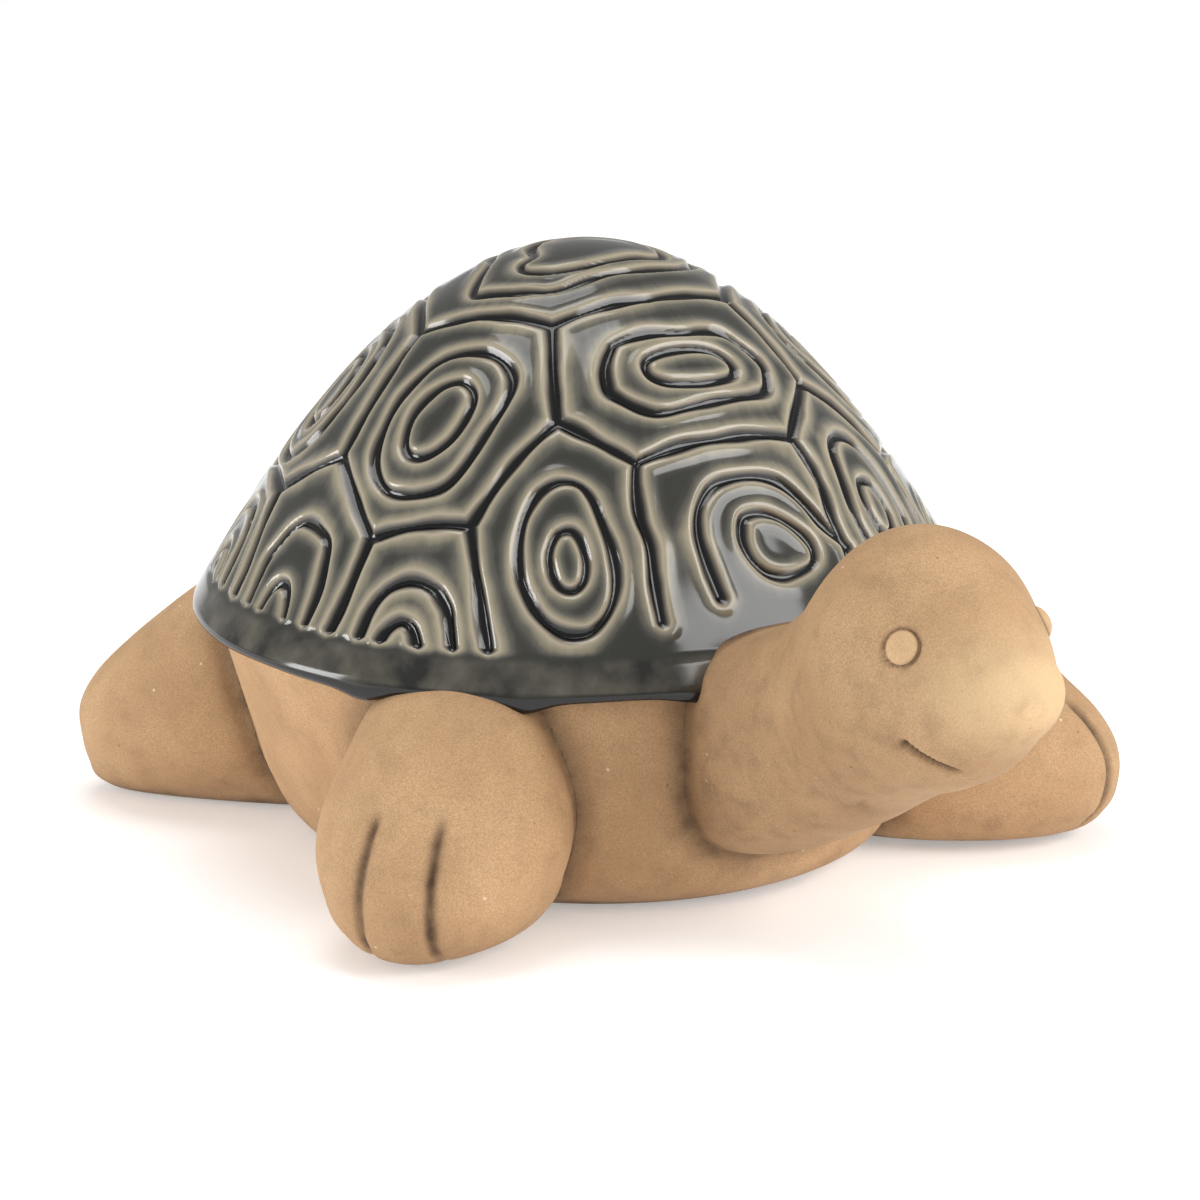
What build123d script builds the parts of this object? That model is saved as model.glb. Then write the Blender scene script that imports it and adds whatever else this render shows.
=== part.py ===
from build123d import *
from math import cos, hypot, radians, sin
import os

os.makedirs("parts", exist_ok=True)

# A turtle ornament in fired stoneware: hollow pieces joined with slip, under a glazed shell.
# The origin is the middle of the flat base, under the middle of the shell.
# The turtle looks along -Y, its left side is +X, and +Z is up. Sizes are in millimetres.

# Overall sizes
shell_half_width = 88.0
shell_half_length = 83.0
shell_rise = 79.0
rim_height = 55.3
shell_wall = 6.0
overrun = 4.0
dome_bands = 8
hollow_bands = 6
hollow_facets = 20

# Shell relief: a groove round each scute, and two ring grooves inside it
groove_width = 2.2
groove_depth = 1.3
ring_groove_width = 1.8
rim_band_height = 6.5
relief_centre_height = 22.0
outline_reach_share = 1.3
ring_corner_share = 0.3

# Where scutes meet, as shares of the shell's half width and half length; -Y is the front
under_rim_share = 1.15
closed_rim_share = 0.975
arch_rim_share = 0.97
nape_share = (0.215, -0.63)
front_join_share = (0.366, -0.475)
brow_share = (0.247, -0.285)
middle_share = (0.445, 0.05)
flank_share = (0.71, -0.02)
front_flank_share = (0.775, -0.26)
shoulder_share = (0.605, -0.49)
rear_flank_share = (0.765, 0.25)
hip_share = (0.62, 0.50)
crown_back_share = (0.25, 0.34)
rear_join_share = (0.39, 0.55)
tail_join_share = (0.21, 0.67)
front_rim_angle = 18.7
shoulder_rim_angle = 45.0
front_side_rim_angle = 72.7
rear_side_rim_angle = 97.0
hip_rim_angle = 129.0
rear_rim_angle = 161.0
closed_rings_share = (("closed", 0.68), ("closed", 0.38))
arch_rings_share = (("arch", 0.70), ("arch", 0.40))
nape_rings_share = (("arch", 0.80), ("closed", 0.26))

# Body: a flared bowl with a flat foot; each height with its half width and half length
rim_overhang = 4.0
body_wall = 6.0
body_height_share = (0.0, 0.09, 0.25, 0.5, 0.76, 1.0)
body_width_share = (0.69, 0.76, 0.82, 0.88, 0.94, 1.0)
body_length_share = (0.78, 0.91, 0.99, 1.02, 1.02, 1.0)
base_vent_radius = 5.0
base_vent_setback = 26.0
limb_vent_radius = 7.0
limb_vent_height = 26.0

# Legs: each height with its outer reach, its heel and its half width
leg_wall = 5.5
leg_height_share = (0.0, 0.05, 0.13, 0.25, 0.38, 0.52, 0.66, 0.82, 1.0)
leg_heel_share = (0.47, 0.45, 0.45, 0.45, 0.45, 0.45, 0.45, 0.45, 0.45)
front_leg_angle = 52.6
front_leg_reach = 121.0
front_leg_half_width = 25.5
front_leg_reach_share = (0.872, 0.938, 0.980, 1.0, 0.995, 0.956, 0.892, 0.840, 0.715)
front_leg_width_share = (0.31, 0.65, 0.86, 0.96, 1.0, 1.0, 0.92, 0.80, 0.69)
rear_leg_angle = 43.9
rear_leg_reach = 118.3
rear_leg_half_width = 23.9
rear_leg_reach_share = (0.930, 0.971, 0.988, 1.0, 1.0, 0.965, 0.902, 0.817, 0.713)
rear_leg_width_share = (0.21, 0.40, 0.63, 0.86, 0.98, 1.0, 0.925, 0.76, 0.51)

# Toes: two grooves down the front of each front paw
toe_groove_width = 1.8
toe_groove_depth = 2.0
toe_groove_spacing = 14.0
toe_groove_top = 36.0
toe_groove_bottom = 5.0

# Head and neck: sections square to Y, from the neck's seat to the tip of the snout
head_reach = 169.5
head_top = 98.0
head_half_width = 25.8
head_wall = 5.0
head_reach_share = (
    0.425, 0.496, 0.561, 0.620, 0.679, 0.738, 0.797, 0.856, 0.915, 0.944, 0.975, 0.993)
head_top_share = (
    0.654, 0.685, 0.737, 0.826, 0.946, 1.0, 0.996, 0.950, 0.892, 0.840, 0.794, 0.742)
head_bottom_share = (
    0.142, 0.164, 0.208, 0.260, 0.312, 0.374, 0.429, 0.469, 0.528, 0.577, 0.625, 0.665)
head_width_share = (
    0.872, 0.899, 0.876, 0.853, 0.903, 1.0, 0.988, 0.829, 0.624, 0.512, 0.403, 0.233)
snout_tip_share = 0.705

# Eyes: small domed buttons, let into the sides of the head
eye_radius = 3.7
eye_rise = 1.3
eye_seat_depth = 1.6
eye_gap = 0.3
eye_side = 18.5
eye_reach = 146.0
eye_height = 79.6
eye_direction_share = (0.84, -0.36, 0.40)

# Mouth: a short level slit on each side of the muzzle
mouth_slit = 1.2
mouth_depth = 2.0
mouth_height = 56.0
mouth_corner_reach = 146.0
mouth_front_reach = 158.0

# Tail: a short stub under the back of the rim
tail_reach = 104.0
tail_half_width = 9.0
tail_half_height = 8.0
tail_height = 24.0
tail_reach_share = (0.58, 0.75, 0.81, 0.86, 0.91, 0.95, 0.98)
tail_thickness_share = (1.0, 0.86, 0.78, 0.66, 0.54, 0.40, 0.25)

bowl_half_width = shell_half_width - rim_overhang
bowl_half_length = shell_half_length - rim_overhang
relief_centre = Vector(0, 0, relief_centre_height)


def refined(values):
    """The table with one more value halfway between each two, on a smooth curve."""
    ends = [2 * values[0] - values[1], *values, 2 * values[-1] - values[-2]]
    result = [values[0]]
    for before, start, end, after in zip(ends, ends[1:], ends[2:], ends[3:]):
        result += [(9 * (start + end) - before - after) / 16, end]
    return result


def section(half_width, half_length, facets):
    """An ellipse, or a polygon in it where the section has facets."""
    if facets:
        turns = [radians(360 * count / facets) for count in range(facets)]
        Polygon(*[(half_width * cos(turn), half_length * sin(turn)) for turn in turns])
    else:
        Ellipse(half_width, half_length)


def dome(half_width, half_length, base, top, bands, facets):
    """A closed paraboloid in level bands, elliptical in plan, on the plane z = base."""
    with BuildPart() as solid:
        for count in range(bands, 0, -1):
            share = count / bands
            with BuildSketch(Plane.XY.offset(top - (top - base) * share**2)):
                section(half_width * share, half_length * share, facets)
        loft(solid.pending_faces + [Vertex(0, 0, top)], ruled=True)
    return solid.part


def bowl(inset, floor, facets):
    """The form of the body between floor and rim, drawn in by inset."""
    table = (body_height_share, body_width_share, body_length_share)
    with BuildPart() as solid:
        for up, wide, long in zip(*[refined(values) for values in table]):
            with BuildSketch(Plane.XY.offset(floor + up * (rim_height - floor))):
                section(bowl_half_width * wide - inset, bowl_half_length * long - inset, facets)
        loft(ruled=True)
    return solid.part


def on_dome(across, along):
    """The point of the shell's surface over a place given in shares."""
    rise = shell_rise * (1 - across**2 - along**2)
    return Vector(shell_half_width * across, shell_half_length * along, rim_height + rise)


def on_rim(angle, reach):
    """A place at an angle from the front, in shares."""
    return (reach * sin(radians(angle)), -reach * cos(radians(angle)))


def flip(corner):
    return (-corner[0], corner[1])


def between(start, end, share):
    return (start[0] + share * (end[0] - start[0]), start[1] + share * (end[1] - start[1]))


def mean(points):
    return (sum(x for x, y in points) / len(points), sum(y for x, y in points) / len(points))


def facing_plane(corners):
    """A plane outside the shell, square to the ray through the middle of a scute."""
    rays = [on_dome(*corner) - relief_centre for corner in corners]
    towards = sum((ray.normalized() for ray in rays), Vector(0, 0, 0)).normalized()
    reach = outline_reach_share * max(ray.dot(towards) for ray in rays)
    return Plane(origin=relief_centre + towards * reach, z_dir=towards)


def project_out(plane, corner):
    """Where the ray from the relief centre through a place on the shell meets the plane."""
    ray = on_dome(*corner) - relief_centre
    reach = (plane.origin - relief_centre).dot(plane.z_dir) / ray.dot(plane.z_dir)
    point = plane.to_local_coords(relief_centre + ray * reach)
    return (point.X, point.Y)


def inset(points, distance):
    """The outline moved in by the same distance on every side."""
    middle = mean(points)
    sides = []
    for start, end in zip(points, points[1:] + points[:1]):
        run = (end[0] - start[0], end[1] - start[1])
        across = (run[1] / hypot(*run), -run[0] / hypot(*run))
        level = across[0] * start[0] + across[1] * start[1]
        outward = 1 if level > across[0] * middle[0] + across[1] * middle[1] else -1
        sides.append((across[0], across[1], level - outward * distance))
    corners = []
    for (a, b, c), (d, e, f) in zip(sides[-1:] + sides[:-1], sides):
        determinant = a * e - b * d
        corners.append(((c * e - b * f) / determinant, (a * f - c * d) / determinant))
    return corners


def in_radius(points):
    """The least distance from the middle of an outline to its sides."""
    middle = mean(points)
    distances = []
    for start, end in zip(points, points[1:] + points[:1]):
        run = (end[0] - start[0], end[1] - start[1])
        offset_in = run[0] * (middle[1] - start[1]) - run[1] * (middle[0] - start[0])
        distances.append(abs(offset_in) / hypot(*run))
    return min(distances)


def cut_corners(points, share):
    """The outline with each corner cut off, by a share of the sides beside it."""
    result = []
    for before, corner, after in zip(points[-1:] + points[:-1], points, points[1:] + points[:1]):
        result.append(between(corner, before, share))
        result.append(between(corner, after, share))
    return result


def pyramid(plane, points):
    """The space from the relief centre out to an outline on the plane."""
    with BuildSketch(plane) as outline:
        with BuildLine():
            Polyline(*points, close=True)
        make_face()
    with BuildPart() as solid:
        loft([outline.sketch.faces()[0], Vertex(*relief_centre)], ruled=True)
    return solid.part


def ring_shape(plane, corners, kind):
    """The outline and the centre that a scute's rings are drawn in towards."""
    under = [corner for corner in corners if hypot(*corner) > 1]
    if kind == "arch":
        foot = mean(under)
        centre = (foot[0] * arch_rim_share / hypot(*foot), foot[1] * arch_rim_share / hypot(*foot))
        return [project_out(plane, corner) for corner in corners], project_out(plane, centre)
    lift = closed_rim_share / under_rim_share
    raised = [(x * lift, y * lift) if (x, y) in under else (x, y) for x, y in corners]
    outline = [project_out(plane, corner) for corner in raised]
    return outline, mean(outline)


def ring_groove(plane, corners, kind, share):
    """A closed or arched band, one ring groove wide, between two drawn in outlines."""
    outline, centre = ring_shape(plane, corners, kind)
    narrower = share - ring_groove_width / in_radius(outline)
    bands = []
    for size in (share, narrower):
        drawn_in = [between(centre, point, size) for point in outline]
        bands.append(pyramid(plane, cut_corners(drawn_in, ring_corner_share)))
    with BuildPart() as band:
        add(bands[0])
        add(bands[1], mode=Mode.SUBTRACT)
    return band.part


def head_form(inset_by, last, facets):
    """The form of the neck and head up to one of its sections, drawn in by inset_by."""
    table = [head_reach_share, head_top_share, head_bottom_share, head_width_share]
    whole = last == len(head_reach_share)
    faces = []
    for out, top, bottom, wide in zip(*[refined(values[:last]) for values in table]):
        with BuildSketch(Plane.XZ.offset(out * head_reach)) as outline:
            with Locations((0, (top + bottom) / 2 * head_top)):
                section(wide * head_half_width - inset_by,
                        (top - bottom) / 2 * head_top - inset_by, facets)
        faces.append(outline.sketch.faces()[0])
    if whole:
        faces.append(Vertex(0, -head_reach, snout_tip_share * head_top))
    with BuildPart() as solid:
        loft(faces, ruled=True)
    return solid.part


def leg_form(across, forward, reach, half_width, table, inset_by, first, last, facets):
    """The form of a leg that points along (across, forward), drawn in by inset_by."""
    with BuildPart() as solid:
        for up, outer, heel, wide in zip(*[refined(values[first:last]) for values in table]):
            middle = (outer + heel) / 2 * reach
            origin = (across * middle, forward * middle, up * rim_height)
            with BuildSketch(Plane(origin=origin, x_dir=(across, forward, 0), z_dir=(0, 0, 1))):
                section((outer - heel) / 2 * reach - inset_by, wide * half_width - inset_by, facets)
        loft(ruled=True)
    return solid.part


# Body: a hollow bowl, open under the shell, with vents so that no air is shut in at the firing
body_form = bowl(0, 0, 0)
limb_places = []
for angle in (front_leg_angle, -front_leg_angle, 180 - rear_leg_angle, 180 + rear_leg_angle, 0):
    limb_places.append((sin(radians(angle)), -cos(radians(angle))))

with BuildPart() as body:
    add(body_form)
    add(bowl(body_wall, body_wall, hollow_facets), mode=Mode.SUBTRACT)
    with Locations((0, base_vent_setback, body_wall / 2)):
        Cylinder(base_vent_radius, 2 * body_wall, mode=Mode.SUBTRACT)
    for across, forward in limb_places:
        with BuildSketch(Plane(origin=(0, 0, limb_vent_height), z_dir=(across, forward, 0))):
            Circle(limb_vent_radius)
        extrude(amount=shell_half_width + overrun, mode=Mode.SUBTRACT)
body.part.label = "body"
export_step(body.part, "parts/body.step")

# Carapace: a domed shell; the relief is cut on its left half and mirrored
side_scutes = {
    "costal_front": ([nape_share, front_join_share, shoulder_share,
                      on_rim(shoulder_rim_angle, under_rim_share),
                      on_rim(front_rim_angle, under_rim_share)], closed_rings_share),
    "costal_second": ([front_join_share, brow_share, middle_share, flank_share,
                       front_flank_share, shoulder_share], closed_rings_share),
    "costal_third": ([middle_share, crown_back_share, rear_join_share, hip_share,
                      rear_flank_share, flank_share], closed_rings_share),
    "costal_rear": ([rear_join_share, tail_join_share, on_rim(rear_rim_angle, under_rim_share),
                     on_rim(hip_rim_angle, under_rim_share), hip_share], closed_rings_share),
    "rim_front": ([shoulder_share, front_flank_share,
                   on_rim(front_side_rim_angle, under_rim_share),
                   on_rim(shoulder_rim_angle, under_rim_share)], arch_rings_share),
    "rim_side": ([front_flank_share, flank_share, rear_flank_share,
                  on_rim(rear_side_rim_angle, under_rim_share),
                  on_rim(front_side_rim_angle, under_rim_share)], arch_rings_share),
    "rim_rear": ([rear_flank_share, hip_share, on_rim(hip_rim_angle, under_rim_share),
                  on_rim(rear_side_rim_angle, under_rim_share)], arch_rings_share),
}
middle_scutes = {
    "nape": ([nape_share, on_rim(front_rim_angle, under_rim_share)], nape_rings_share),
    "brow": ([brow_share, front_join_share, nape_share], closed_rings_share),
    "crown": ([crown_back_share, middle_share, brow_share], closed_rings_share),
    "crown_rear": ([tail_join_share, rear_join_share, crown_back_share], closed_rings_share),
    "tail_end": ([on_rim(rear_rim_angle, under_rim_share), tail_join_share], arch_rings_share),
}
scutes = list(side_scutes.values())
for half_outline, rings in middle_scutes.values():
    whole_outline = half_outline + [flip(corner) for corner in reversed(half_outline)]
    scutes.append((whole_outline, rings))

shell_top = rim_height + shell_rise
outer_dome = dome(shell_half_width, shell_half_length, rim_height, shell_top, dome_bands, 0)
neck_section_height = (head_top_share[1] + head_bottom_share[1]) / 2 * head_top
neck_section_rise = (head_top_share[1] - head_bottom_share[1]) / 2 * head_top

with BuildPart() as relief_layer:
    with Locations((0, 0, rim_height + rim_band_height)):
        Box(shell_half_width + overrun, 2 * (shell_half_length + overrun), shell_rise + overrun,
            align=(Align.MIN, Align.CENTER, Align.MIN))
    add(dome(shell_half_width - groove_depth, shell_half_length - groove_depth,
             rim_height - overrun, shell_top - groove_depth, dome_bands, 0), mode=Mode.SUBTRACT)
    with BuildSketch(Plane.XZ):
        with Locations((0, neck_section_height)):
            Ellipse(head_half_width + rim_band_height, neck_section_rise + rim_band_height)
    extrude(amount=shell_half_length + overrun, mode=Mode.SUBTRACT)

ring_grooves = []
with BuildPart() as border_grooves:
    add(relief_layer.part)
    for corners, rings in scutes:
        plane = facing_plane(corners)
        outline = [project_out(plane, corner) for corner in corners]
        add(pyramid(plane, inset(outline, groove_width * outline_reach_share / 2)), mode=Mode.SUBTRACT)
for corners, rings in scutes:
    plane = facing_plane(corners)
    for kind, share in rings:
        with BuildPart() as groove:
            add(ring_groove(plane, corners, kind, share))
            add(relief_layer.part, mode=Mode.INTERSECT)
        ring_grooves.append(groove.part)

with BuildPart() as carapace:
    add(outer_dome)
    split(bisect_by=Plane.YZ, keep=Keep.TOP)
    add([border_grooves.part] + ring_grooves, mode=Mode.SUBTRACT)
    add(dome(shell_half_width - shell_wall, shell_half_length - shell_wall,
             rim_height, shell_top - shell_wall, hollow_bands, hollow_facets), mode=Mode.SUBTRACT)
    mirror(about=Plane.YZ)
carapace.part.label = "carapace"
export_step(carapace.part, "parts/carapace.step")

# Eyes: domed buttons; each lies in a round seat a little wider than itself
eye_dome_radius = (eye_radius**2 + eye_rise**2) / (2 * eye_rise)
eye_planes = {}
for name, side in (("eye_left", 1), ("eye_right", -1)):
    direction = Vector(side * eye_direction_share[0], eye_direction_share[1], eye_direction_share[2])
    eye_planes[name] = Plane(origin=(side * eye_side, -eye_reach, eye_height), z_dir=direction)
    with BuildPart(eye_planes[name]) as eye:
        with Locations((0, 0, (eye_rise - eye_seat_depth) / 2)):
            Cylinder(eye_radius, eye_rise + eye_seat_depth)
        with Locations((0, 0, eye_rise - eye_dome_radius)):
            Sphere(eye_dome_radius, mode=Mode.INTERSECT)
    eye.part.label = name
    export_step(eye.part, "parts/" + name + ".step")

# Head and neck: one hollow piece, open where it seats on the body and the shell
with BuildPart() as head:
    add(head_form(0, len(head_reach_share), 0))
    add(head_form(head_wall, len(head_reach_share) - 2, hollow_facets), mode=Mode.SUBTRACT)
    add(body_form, mode=Mode.SUBTRACT)
    add(outer_dome, mode=Mode.SUBTRACT)
    for plane in eye_planes.values():
        with BuildSketch(plane.offset(-eye_seat_depth)):
            Circle(eye_radius + eye_gap)
        extrude(amount=eye_seat_depth + overrun, mode=Mode.SUBTRACT)
    with BuildPart(mode=Mode.PRIVATE) as mouth:
        with BuildSketch(Plane.XY.offset(mouth_height)):
            with Locations((0, -(mouth_corner_reach + mouth_front_reach) / 2)):
                Rectangle(2 * head_half_width, mouth_front_reach - mouth_corner_reach)
        extrude(amount=mouth_slit)
        add(head_form(mouth_depth, len(head_reach_share) - 1, 0), mode=Mode.SUBTRACT)
    add(mouth.part, mode=Mode.SUBTRACT)
head.part.label = "head"
export_step(head.part, "parts/head.step")

# Legs: four hollow lobes, open where they seat on the body; the front paws have three toes
front_table = (leg_height_share, front_leg_reach_share, leg_heel_share, front_leg_width_share)
rear_table = (leg_height_share, rear_leg_reach_share, leg_heel_share, rear_leg_width_share)
for side, word in ((1, "left"), (-1, "right")):
    across = side * sin(radians(front_leg_angle))
    forward = -cos(radians(front_leg_angle))
    size = (across, forward, front_leg_reach, front_leg_half_width, front_table)
    with BuildPart() as toe_grooves:
        middle_height = (toe_groove_top + toe_groove_bottom) / 2
        paw_front = (across * front_leg_reach, forward * front_leg_reach, middle_height)
        with Locations(Plane(origin=paw_front, x_dir=(across, forward, 0), z_dir=(0, 0, 1))):
            with GridLocations(0, toe_groove_spacing, 1, 2):
                Box(front_leg_half_width, toe_groove_width, toe_groove_top - toe_groove_bottom)
        add(leg_form(*size, toe_groove_depth, 0, None, 0), mode=Mode.SUBTRACT)
    with BuildPart() as leg:
        add(leg_form(*size, 0, 0, None, 0))
        add(body_form, mode=Mode.SUBTRACT)
        add(outer_dome, mode=Mode.SUBTRACT)
        add(leg_form(*size, leg_wall, 2, -1, hollow_facets), mode=Mode.SUBTRACT)
        add(toe_grooves.part, mode=Mode.SUBTRACT)
    leg.part.label = "leg_front_" + word
    export_step(leg.part, "parts/leg_front_" + word + ".step")

    across = side * sin(radians(rear_leg_angle))
    forward = cos(radians(rear_leg_angle))
    size = (across, forward, rear_leg_reach, rear_leg_half_width, rear_table)
    with BuildPart() as leg:
        add(leg_form(*size, 0, 0, None, 0))
        add(body_form, mode=Mode.SUBTRACT)
        add(outer_dome, mode=Mode.SUBTRACT)
        add(leg_form(*size, leg_wall, 2, -1, hollow_facets), mode=Mode.SUBTRACT)
    leg.part.label = "leg_rear_" + word
    export_step(leg.part, "parts/leg_rear_" + word + ".step")

# Tail: a short tapered stub, luted on at the middle of the back
with BuildPart() as tail:
    faces = []
    for out, thick in zip(tail_reach_share, tail_thickness_share):
        with BuildSketch(Plane.XZ.offset(-out * tail_reach)) as outline:
            with Locations((0, tail_height)):
                Ellipse(tail_half_width * thick, tail_half_height * thick)
        faces.append(outline.sketch.faces()[0])
    loft(faces + [Vertex(0, tail_reach, tail_height)], ruled=True)
    add(body_form, mode=Mode.SUBTRACT)
tail.part.label = "tail"
export_step(tail.part, "parts/tail.step")
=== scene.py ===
import math
import bpy
import numpy as np
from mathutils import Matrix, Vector
from mathutils.kdtree import KDTree


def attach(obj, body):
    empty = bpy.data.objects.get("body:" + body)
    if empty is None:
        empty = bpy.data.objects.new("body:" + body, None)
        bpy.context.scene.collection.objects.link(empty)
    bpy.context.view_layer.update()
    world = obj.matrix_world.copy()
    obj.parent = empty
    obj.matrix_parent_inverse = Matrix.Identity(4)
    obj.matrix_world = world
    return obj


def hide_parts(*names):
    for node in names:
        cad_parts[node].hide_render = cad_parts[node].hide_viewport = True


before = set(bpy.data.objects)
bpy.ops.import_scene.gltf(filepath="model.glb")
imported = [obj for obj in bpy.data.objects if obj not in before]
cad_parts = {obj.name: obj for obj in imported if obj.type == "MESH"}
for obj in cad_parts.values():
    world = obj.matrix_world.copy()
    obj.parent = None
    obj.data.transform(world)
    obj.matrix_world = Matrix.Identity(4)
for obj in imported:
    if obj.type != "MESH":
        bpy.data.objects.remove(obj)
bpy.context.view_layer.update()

# Turtle ornament in fired stoneware: matte tan clay under a dark, glossy, glazed shell.
# Lengths are in millimetres and turned to metres where a mesh is made.
# The turtle looks along -Y, its left side is +X, and the ground is z = 0.

# Camera and studio: a long lens from the turtle's front right, a pale floor and soft light
camera_place = Vector((-0.7221, -1.1252, 0.4285))
camera_target = Vector((0.0064, 0.0028, 0.05056))
camera_data = bpy.data.cameras.new("camera")
camera_data.lens = 185.3
camera_data.sensor_width = 36.0
camera_data.clip_end = 20.0
camera = bpy.data.objects.new("camera", camera_data)
camera.location = camera_place
camera.rotation_mode = "QUATERNION"
camera.rotation_quaternion = (camera_target - camera_place).to_track_quat("-Z", "Y")
bpy.context.scene.collection.objects.link(camera)
bpy.context.scene.camera = camera
bpy.context.scene.view_settings.view_transform = "Standard"


def linear(code):
    """A hex colour as the linear colour that the shaders take."""
    parts = [int(code[place:place + 2], 16) / 255 for place in (1, 3, 5)]
    bent = [part / 12.92 if part <= 0.04045 else ((part + 0.055) / 1.055) ** 2.4
            for part in parts]
    return (*bent, 1.0)


def node(tree, kind, inputs, **settings):
    """One shader node with its inputs set or linked."""
    made = tree.nodes.new(kind)
    for name, value in settings.items():
        setattr(made, name, value)
    for name, value in inputs.items():
        if isinstance(value, bpy.types.NodeSocket):
            tree.links.new(value, made.inputs[name])
        else:
            made.inputs[name].default_value = value
    return made


def new_material(name):
    """An empty material and its node tree."""
    material = bpy.data.materials.new(name)
    material.use_nodes = True
    material.node_tree.nodes.clear()
    return material, material.node_tree


def softbox(name, place, size, power, colour):
    """A rectangular lamp that faces the ornament."""
    data = bpy.data.lights.new(name, "AREA")
    data.shape = "RECTANGLE"
    data.size, data.size_y = size
    data.energy = power
    data.color = linear(colour)[:3]
    lamp = bpy.data.objects.new(name, data)
    lamp.location = place
    lamp.rotation_mode = "QUATERNION"
    lamp.rotation_quaternion = (Vector((0, 0, 0.06)) - Vector(place)).to_track_quat("-Z", "Y")
    bpy.context.scene.collection.objects.link(lamp)


softbox("left", (-1.25, 0.45, 0.25), (0.5, 0.5), 8.5, "#FFFFFF")
softbox("front", (0.65, -1.25, 0.7), (1.0, 1.0), 18, "#FFFFFF")
softbox("top", (0.0, 0.2, 1.4), (0.8, 0.8), 7, "#FFFFFF")
world = bpy.data.worlds.new("studio")
world.use_nodes = True
world.node_tree.nodes["Background"].inputs["Color"].default_value = linear("#FFFFFF")
world.node_tree.nodes["Background"].inputs["Strength"].default_value = 0.42
bpy.context.scene.world = world

floor_mesh = bpy.data.meshes.new("floor")
floor_mesh.from_pydata([(-6, -6, 0), (6, -6, 0), (6, 6, 0), (-6, 6, 0)], [], [(0, 1, 2, 3)])
floor = bpy.data.objects.new("floor", floor_mesh)
floor_material, tree = new_material("floor_white")
shader = node(tree, "ShaderNodeBsdfPrincipled", {
    "Base Color": linear("#FFFFFF"), "Roughness": 0.9, "Emission Color": linear("#FFFFFF"),
    "Emission Strength": 0.3})
node(tree, "ShaderNodeOutputMaterial", {"Surface": shader.outputs[0]})
floor_mesh.materials.append(floor_material)
bpy.context.scene.collection.objects.link(floor)

# Body: the bowl under the shell, thrown or pressed in one piece with a flat foot.
# The limbs are luted on round it, and a tooled crease is left along each joint.
# All of them are unglazed stoneware, scraped and sponged smooth by hand: tan with fine
# dark grains, and with brown oxide washed on and left in the creases. The same brown is
# also painted on as shade along the ground and on the head's sides and underside, and a
# paler tint is painted on the muzzle and eyes as a highlight.
clay, tree = new_material("stoneware_tan")
place = node(tree, "ShaderNodeTexCoord", {}).outputs["Object"]
wash_and_shade = node(tree, "ShaderNodeAttribute", {}, attribute_name="wash_and_shade").outputs["Fac"]
rub_and_highlight = node(tree, "ShaderNodeAttribute", {}, attribute_name="rub_and_highlight").outputs["Fac"]
# cloudy change of tone over about 20 mm
clouds = node(tree, "ShaderNodeTexNoise", {
    "Vector": place, "Scale": 45.0, "Detail": 4.0}).outputs["Fac"]
tone = node(tree, "ShaderNodeValToRGB", {"Fac": clouds})
tone.color_ramp.elements[0].position = 0.35
tone.color_ramp.elements[0].color = linear("#B8926A")
tone.color_ramp.elements[1].position = 0.68
tone.color_ramp.elements[1].color = linear("#CCA67C")
# grains of under a millimetre
grain = node(tree, "ShaderNodeTexNoise", {
    "Vector": place, "Scale": 2600.0, "Detail": 4.0}).outputs["Fac"]
grain_share = node(tree, "ShaderNodeMapRange", {
    "Value": grain, "From Min": 0.3, "From Max": 0.7, "To Min": 0.6, "To Max": -0.1}).outputs[0]
grainy = node(tree, "ShaderNodeMix", {
    "Factor": grain_share, "A": tone.outputs[0], "B": linear("#8F6E48")},
    data_type="RGBA", clamp_factor=True)
# sparse brown and white specks, about one to each 4 mm cell in seven
speck = node(tree, "ShaderNodeTexVoronoi", {"Vector": place, "Scale": 260.0})
speck_share = node(tree, "ShaderNodeMapRange", {
    "Value": speck.outputs["Distance"], "From Min": 0.05, "From Max": 0.12,
    "To Min": 0.6, "To Max": 0.0}).outputs[0]
pick = node(tree, "ShaderNodeSeparateColor", {"Color": speck.outputs["Color"]})
sparse = node(tree, "ShaderNodeMath", {0: pick.outputs[0], 1: 0.86},
              operation="GREATER_THAN").outputs[0]
speck_on = node(tree, "ShaderNodeMath", {0: speck_share, 1: sparse},
                operation="MULTIPLY").outputs[0]
light_or_dark = node(tree, "ShaderNodeMath", {0: pick.outputs[1], 1: 0.6},
                     operation="GREATER_THAN").outputs[0]
speck_colour = node(tree, "ShaderNodeMix", {
    "Factor": light_or_dark, "A": linear("#6B4A2A"), "B": linear("#EFE2C8")}, data_type="RGBA")
specked = node(tree, "ShaderNodeMix", {
    "Factor": speck_on, "A": grainy.outputs["Result"], "B": speck_colour.outputs["Result"]},
    data_type="RGBA")
# paler muzzle and eyes: rubbed paler, and painted paler still as a highlight
rubbed_and_highlighted = node(tree, "ShaderNodeMix", {
    "Factor": rub_and_highlight, "A": specked.outputs["Result"], "B": linear("#E6C79A")},
    data_type="RGBA", clamp_factor=True)
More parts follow.
